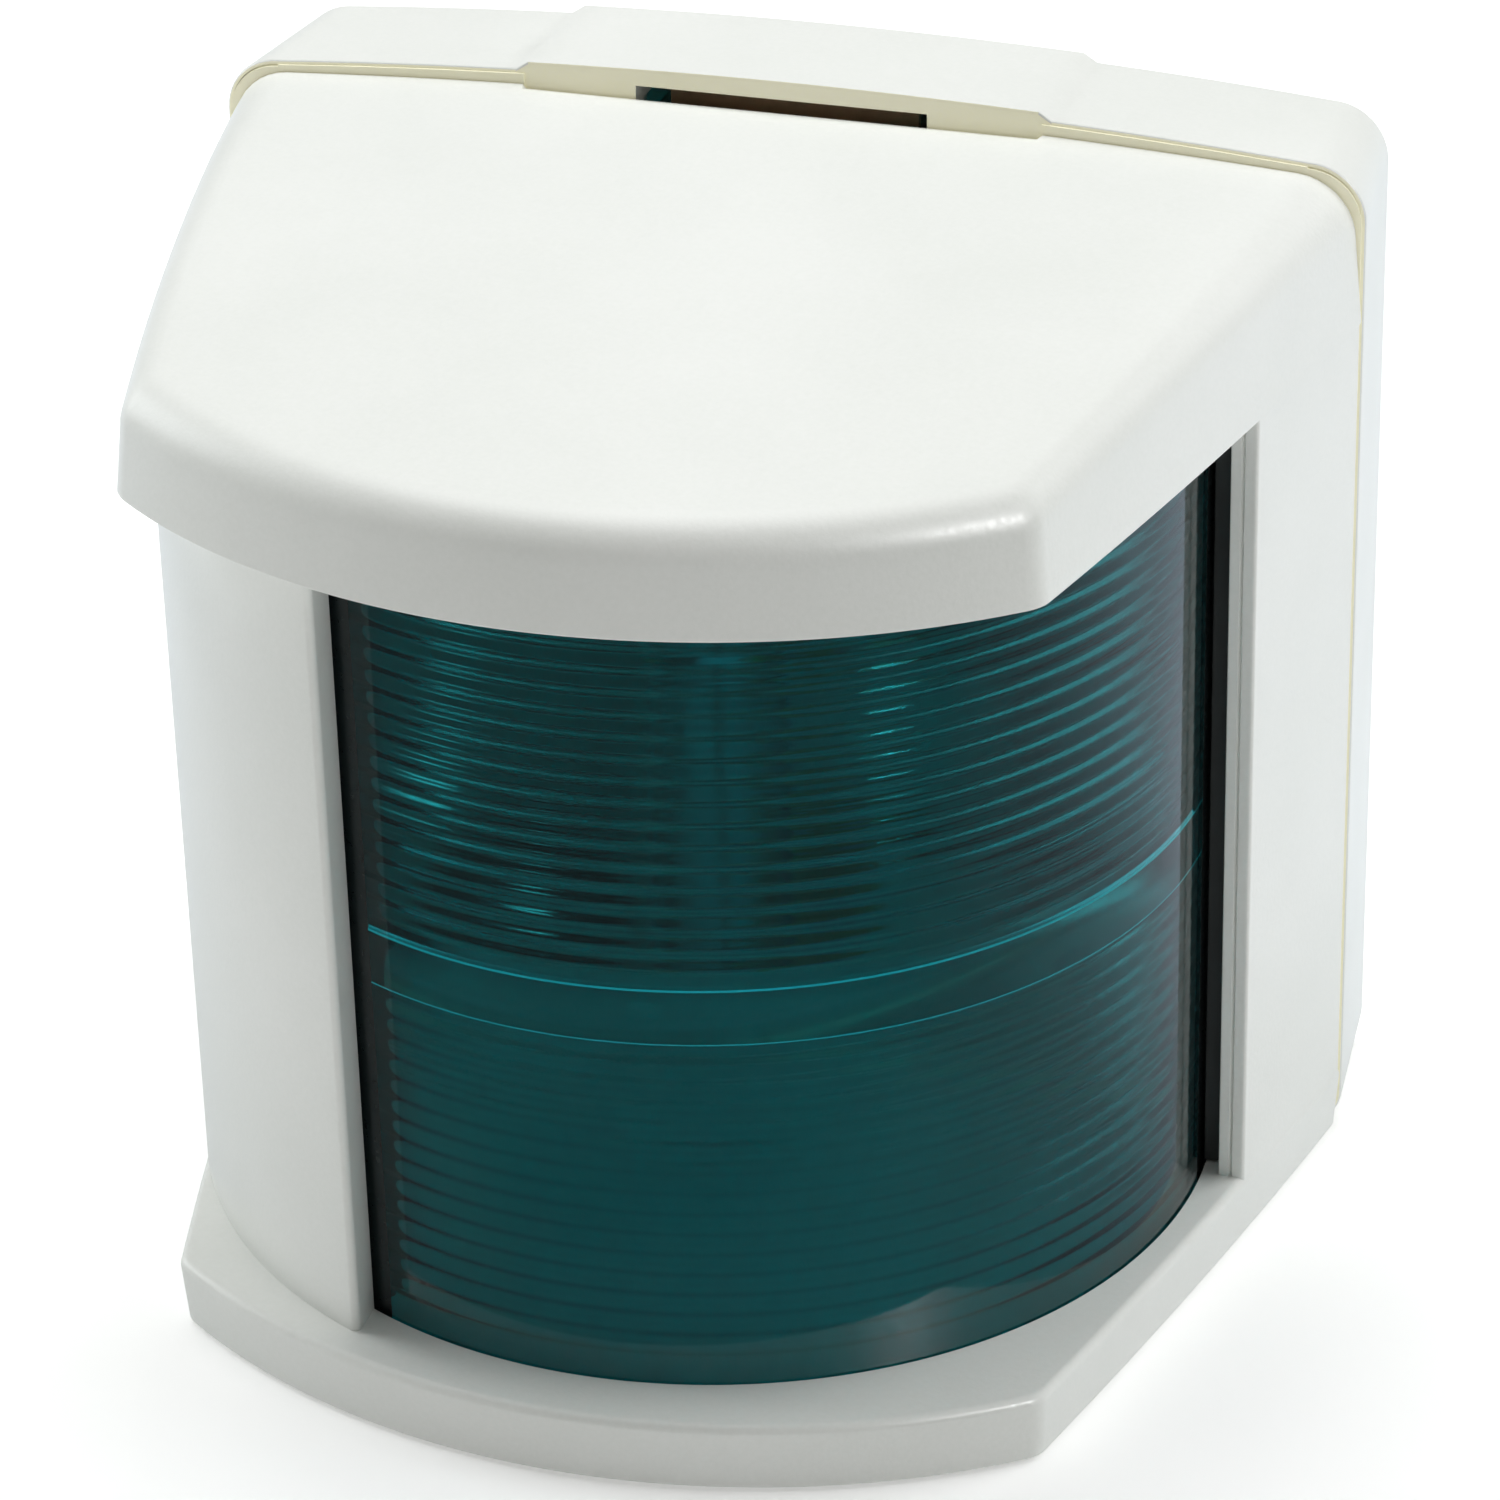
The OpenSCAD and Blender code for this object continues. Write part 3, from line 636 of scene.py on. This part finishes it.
# ---------------------------------------------------------------------------
# Filament and leads
# ---------------------------------------------------------------------------
def build_filament(mat):
    """Coiled filament between two straight supports, inside the lamp."""
    support_r, wire_r, coil_r, coil_half, turns, per_turn = 0.19, 0.085, 0.4, 6.8, 30, 12
    heights = (7.2, 7.6, 10.0, 14.3)
    path = [((0, AXIS_Y, LAMP_Z - z), support_r) for z in reversed(heights)]
    steps = turns * per_turn
    for i in range(steps + 1):
        a = 2 * math.pi * i / per_turn
        r = coil_r * min(1.0, i / per_turn, (steps - i) / per_turn)
        path.append(((r * math.cos(a), AXIS_Y + r * math.sin(a),
                      LAMP_Z - coil_half + 2 * coil_half * i / steps), wire_r))
    path += [((0, AXIS_Y, LAMP_Z + z), support_r) for z in heights]
    return finish_piece(swept(path, 7), "filament_coil", "lamp", mat,
                        "bulb_filament", sharp=60)


def build_lead(name, mat, corners):
    """Insulated lead along a route of corners, each eased over the given reach."""
    radius, reach, steps = 0.9, 2.0, 8
    pts = [Vector(p) for p in corners]
    path = [(pts[0], radius)]
    for i in range(1, len(pts) - 1):
        a, b = ((pts[i + s] - pts[i]).normalized() * reach for s in (-1, 1))
        for k in range(steps + 1):
            t = k / steps
            path.append((pts[i] + a * (1 - t) ** 2 + b * t ** 2, radius))
    path.append((pts[-1], radius))
    return finish_piece(swept(path, 20), name + "_sleeve", "base", mat, name, sharp=50)


# ---------------------------------------------------------------------------
# Materials
# ---------------------------------------------------------------------------
def material(name, dark, light, rough=(0.4, 0.5), grain=1400.0, bump=0.05, bump_mm=0.02,
             blotch=90.0, **sockets):
    """Node material: two tones mixed by broad and fine noise, roughness and relief from grain.
    Numbers that are the same everywhere are set on the shader's own sockets."""
    broad_share, fine_share = 0.65, 0.35
    m = bpy.data.materials.new(name)
    m.use_nodes = True
    nt = m.node_tree
    bsdf = nt.nodes["Principled BSDF"]
    link = nt.links.new

    def node(kind, **values):
        made = nt.nodes.new("ShaderNode" + kind)
        for key, value in values.items():
            made.inputs[key.replace("_", " ")].default_value = value
        return made

    coord = node("TexCoord")
    broad = node("TexNoise", Scale=blotch, Detail=3)
    fine = node("TexNoise", Scale=grain, Detail=4)
    for t in (broad, fine):
        link(coord.outputs["Object"], t.inputs["Vector"])
    part, both = node("Math"), node("Math")
    part.operation, both.operation = "MULTIPLY", "MULTIPLY_ADD"
    part.inputs[1].default_value, both.inputs[1].default_value = broad_share, fine_share
    link(broad.outputs["Fac"], part.inputs[0])
    link(fine.outputs["Fac"], both.inputs[0])
    link(part.outputs[0], both.inputs[2])
    tones = node("ValToRGB")
    for end, place, tone in zip(tones.color_ramp.elements, (0.35, 0.65), (dark, light)):
        end.position, end.color = place, (*tone, 1)
    link(both.outputs[0], tones.inputs["Fac"])
    link(tones.outputs["Color"], bsdf.inputs["Base Color"])
    spread = node("MapRange", From_Min=0.3, From_Max=0.7, To_Min=rough[0], To_Max=rough[1])
    link(fine.outputs["Fac"], spread.inputs["Value"])
    link(spread.outputs["Result"], bsdf.inputs["Roughness"])
    if bump:
        relief = node("Bump", Strength=bump, Distance=bump_mm / 1000)
        link(fine.outputs["Fac"], relief.inputs["Height"])
        link(relief.outputs["Normal"], bsdf.inputs["Normal"])
    for key, value in sockets.items():
        bsdf.inputs[key.replace("_", " ")].default_value = value
    return m


MATS = {
    "housing_white": material("moulded_white", (0.81, 0.825, 0.79), (0.86, 0.87, 0.84),
                              rough=(0.34, 0.46), grain=2600, bump=0.5, bump_mm=0.03, blotch=45),
    "holder_white": material("holder_plastic", (0.76, 0.76, 0.73), (0.82, 0.82, 0.79),
                             rough=(0.35, 0.5), grain=2000, bump=0.3),
    "lens_green": material("lens_plastic", (0.008, 0.30, 0.335), (0.012, 0.345, 0.38),
                           rough=(0.03, 0.07), grain=700, bump=0.0, blotch=60,
                           Transmission_Weight=0.972, IOR=1.49),
    "lens_ribs": material("lens_inside", (0.008, 0.31, 0.345), (0.012, 0.355, 0.39),
                          rough=(0.11, 0.17), grain=900, bump=0.0, blotch=60,
                          Transmission_Weight=1.0, IOR=1.49),
    # the flat ledges at the band's edges glow teal: a painted highlight for the band's bright arcs
    "lens_ledge_painted_glow": material("lens_prism_edge_painted_glow", (0.0, 0.34, 0.38), (0.0, 0.39, 0.43),
                           rough=(0.1, 0.3), grain=900, bump=0.0, blotch=40,
                           Emission_Color=(0.03, 0.62, 0.68, 1), Emission_Strength=0.5),
    "lens_flange": material("lens_edge", (0.010, 0.017, 0.018), (0.016, 0.024, 0.025),
                            rough=(0.25, 0.4), grain=1800, bump=0.2),
    # cream tone and glow on the base's face in the seam: painted warm bounce light
    "joint_face_painted_glow": material("joint_face_painted_glow", (0.90, 0.87, 0.66), (0.94, 0.91, 0.72),
                           rough=(0.34, 0.46), grain=2600, bump=0.5, bump_mm=0.03,
                           Emission_Color=(1.0, 0.94, 0.68, 1), Emission_Strength=0.13),
    # the seal is a real part; its cream tone and its glow are painted warm bounce light in the
    # seam
    "seal_cream": material("seal_rubber_painted_glow", (0.90, 0.87, 0.66), (0.94, 0.91, 0.72),
                           Emission_Color=(1.0, 0.94, 0.68, 1), Emission_Strength=0.13,
                           rough=(0.55, 0.7), grain=1800, bump=0.3),
    "rubber_black": material("black_rubber", (0.038, 0.046, 0.046), (0.056, 0.066, 0.066),
                             rough=(0.5, 0.7), grain=2200, bump=0.4),
    "screen_black": material("black_plastic", (0.004, 0.006, 0.006), (0.009, 0.011, 0.011),
                             rough=(0.4, 0.55), grain=2200, bump=0.3),
    "steel": material("stainless", (0.50, 0.50, 0.51), (0.66, 0.66, 0.67), rough=(0.22, 0.38),
                      grain=3000, bump=0.15, Metallic=1.0),
    "bronze": material("spring_bronze", (0.66, 0.44, 0.30), (0.80, 0.58, 0.42), rough=(0.4, 0.6),
                       grain=2400, bump=0.15, Metallic=1.0),
    "brass": material("brass", (0.62, 0.44, 0.16), (0.76, 0.58, 0.26), rough=(0.24, 0.34),
                      grain=2600, bump=0.04, Metallic=1.0),
    "bulb_glass": material("lamp_glass", (0.93, 0.95, 0.95), (0.98, 0.99, 0.99),
                           rough=(0.0, 0.03), grain=900, bump=0.0,
                           Transmission_Weight=1.0, IOR=1.5),
    "filament": material("tungsten", (0.10, 0.10, 0.10), (0.22, 0.21, 0.20), rough=(0.4, 0.6),
                         grain=5000, bump=0.2, Metallic=1.0),
    "terminal_white": material("terminal_plastic", (0.74, 0.74, 0.70), (0.82, 0.82, 0.78),
                               rough=(0.4, 0.55), grain=1800, bump=0.3),
    "lead_red": material("red_sleeve", (0.42, 0.016, 0.012), (0.55, 0.03, 0.02),
                         rough=(0.35, 0.5), grain=1500, bump=0.2),
    "lead_black": material("black_sleeve", (0.012, 0.012, 0.013), (0.03, 0.03, 0.032),
                           rough=(0.35, 0.5), grain=1500, bump=0.2),
}

# every node of the CAD keeps its mesh and gets the material of its slot
slot_of = {row["node"]: row["material_slot"] for row in frame["record"]["subparts"]}
for node, ob in frame["nodes"].items():
    ob.data.materials.clear()
    ob.data.materials.append(MATS[slot_of.get(node, "housing_white")])

build_cover(MATS["housing_white"])
build_base(MATS["housing_white"], MATS["joint_face_painted_glow"])
build_lens(MATS["lens_green"], MATS["lens_ribs"], MATS["lens_flange"], MATS["lens_ledge_painted_glow"])
build_filament(MATS["filament"])
build_lead("lead_live", MATS["lead_red"],
           [(21, -7, 15.5), (21, -7, 26), (14, -9.45, 28.6), (5.5, -9.45, 28.6)])
build_lead("lead_return", MATS["lead_black"],
           [(30, -7, 15.5), (30, -7, 43), (24, -9.45, 45.7), (5.5, -9.45, 45.7)])

# ---------------------------------------------------------------------------
# Floor, light and camera
# ---------------------------------------------------------------------------
def dim_in_reflections(mat):
    """Makes the floor look dimmer in reflections, and darker towards the front, as a table that
    ends just in front of the light would."""
    tree = mat.node_tree
    rays, axes, spot, span, fade, dim, only, mix = (tree.nodes.new("ShaderNode" + t) for t in (
        "LightPath", "SeparateXYZ", "TexCoord", "MapRange", "ValToRGB", "BsdfDiffuse", "Math",
        "MixShader"))
    only.operation, only.use_clamp = "SUBTRACT", True
    span.inputs["From Min"].default_value, span.inputs["From Max"].default_value = -0.10, 0.03
    fade.color_ramp.elements[0].color = (0.13, 0.14, 0.145, 1)
    fade.color_ramp.elements[1].color = (0.72, 0.80, 0.92, 1)
    for start, end in (
            (rays.outputs["Is Glossy Ray"], only.inputs[0]),
            (rays.outputs["Is Transmission Ray"], only.inputs[1]),
            (spot.outputs["Object"], axes.inputs[0]),
            (axes.outputs["Y"], span.inputs["Value"]),
            (span.outputs["Result"], fade.inputs["Fac"]),
            (fade.outputs["Color"], dim.inputs["Color"]),
            (only.outputs[0], mix.inputs[0]),
            (tree.nodes["Principled BSDF"].outputs[0], mix.inputs[1]),
            (dim.outputs[0], mix.inputs[2]),
            (mix.outputs[0], tree.nodes["Material Output"].inputs["Surface"])):
        tree.links.new(start, end)


FLOOR_HALF, FLOOR_GAP = 3, 0.0002
floor = new_object("floor", [(x * FLOOR_HALF, y * FLOOR_HALF, 0)
                             for x, y in ((-1, -1), (1, -1), (1, 1), (-1, 1))], [(0, 1, 2, 3)])
floor.location.z = UNDERSIDE / 1000 - FLOOR_GAP
pale = material("pale_floor", (0.93, 0.93, 0.925), (0.95, 0.95, 0.945), rough=(0.6, 0.7),
                grain=60, bump=0.0, blotch=3, Emission_Color=(1, 1, 1, 1),
                Emission_Strength=0.23)
dim_in_reflections(pale)
floor.data.materials.append(pale)


def lamp(name, where, size, power, color=(1, 1, 1), unseen_by=()):
    """Round area light aimed at the object; unseen_by names the rays that pass it by."""
    target = Vector((0, -0.035, -0.005))
    data = bpy.data.lights.new(name, "AREA")
    data.shape, data.size, data.energy, data.color = "DISK", size, power, color
    ob = bpy.data.objects.new(name, data)
    bpy.context.scene.collection.objects.link(ob)
    ob.location = where
    ob.rotation_mode = "QUATERNION"
    ob.rotation_quaternion = (Vector(where) - target).to_track_quat("Z", "Y")
    for rays in unseen_by:
        setattr(ob, "visible_" + rays, False)


lamp("top", (-0.10, 0.10, 0.95), 0.9, 7.0)
lamp("right", (0.85, 0.42, 0.72), 1.0, 8.1, (0.97, 0.99, 1.0), ("glossy", "transmission"))
lamp("left", (-0.95, 0.10, 0.40), 0.6, 4.4, (0.94, 0.99, 1.0), ("transmission",))
lamp("glint", (0.70, -0.47, 0.50), 0.12, 8.5, unseen_by=("diffuse",))

world = bpy.data.worlds.new("studio")
world.use_nodes = True
sky = world.node_tree.nodes["Background"].inputs
sky["Color"].default_value, sky["Strength"].default_value = (1.0, 0.99, 0.90, 1), 0.08
scene = bpy.context.scene
scene.world = world
scene.view_settings.view_transform = "Standard"

AZIMUTH, ELEVATION, ROLL = math.radians(18.09), math.radians(28.74), math.radians(-1.50)
EYE, LENS_MM, SENSOR_MM = (0.12208, -0.39838, 0.20374), 141.9, 36.0
back = Vector((math.sin(AZIMUTH) * math.cos(ELEVATION),
               -math.cos(AZIMUTH) * math.cos(ELEVATION), math.sin(ELEVATION)))
right = Vector((math.cos(AZIMUTH), math.sin(AZIMUTH), 0))
above = right.cross(-back)
x_axis = math.cos(ROLL) * right + math.sin(ROLL) * above
y_axis = -math.sin(ROLL) * right + math.cos(ROLL) * above
camera = bpy.data.objects.new("camera", bpy.data.cameras.new("camera"))
scene.collection.objects.link(camera)
camera.data.sensor_width, camera.data.lens = SENSOR_MM, LENS_MM
camera.data.clip_start, camera.data.clip_end = 0.02, 20
camera.matrix_world = Matrix([(*row, place) for row, place in zip(zip(x_axis, y_axis, back), EYE)]
                             + [(0, 0, 0, 1)])
scene.camera = camera
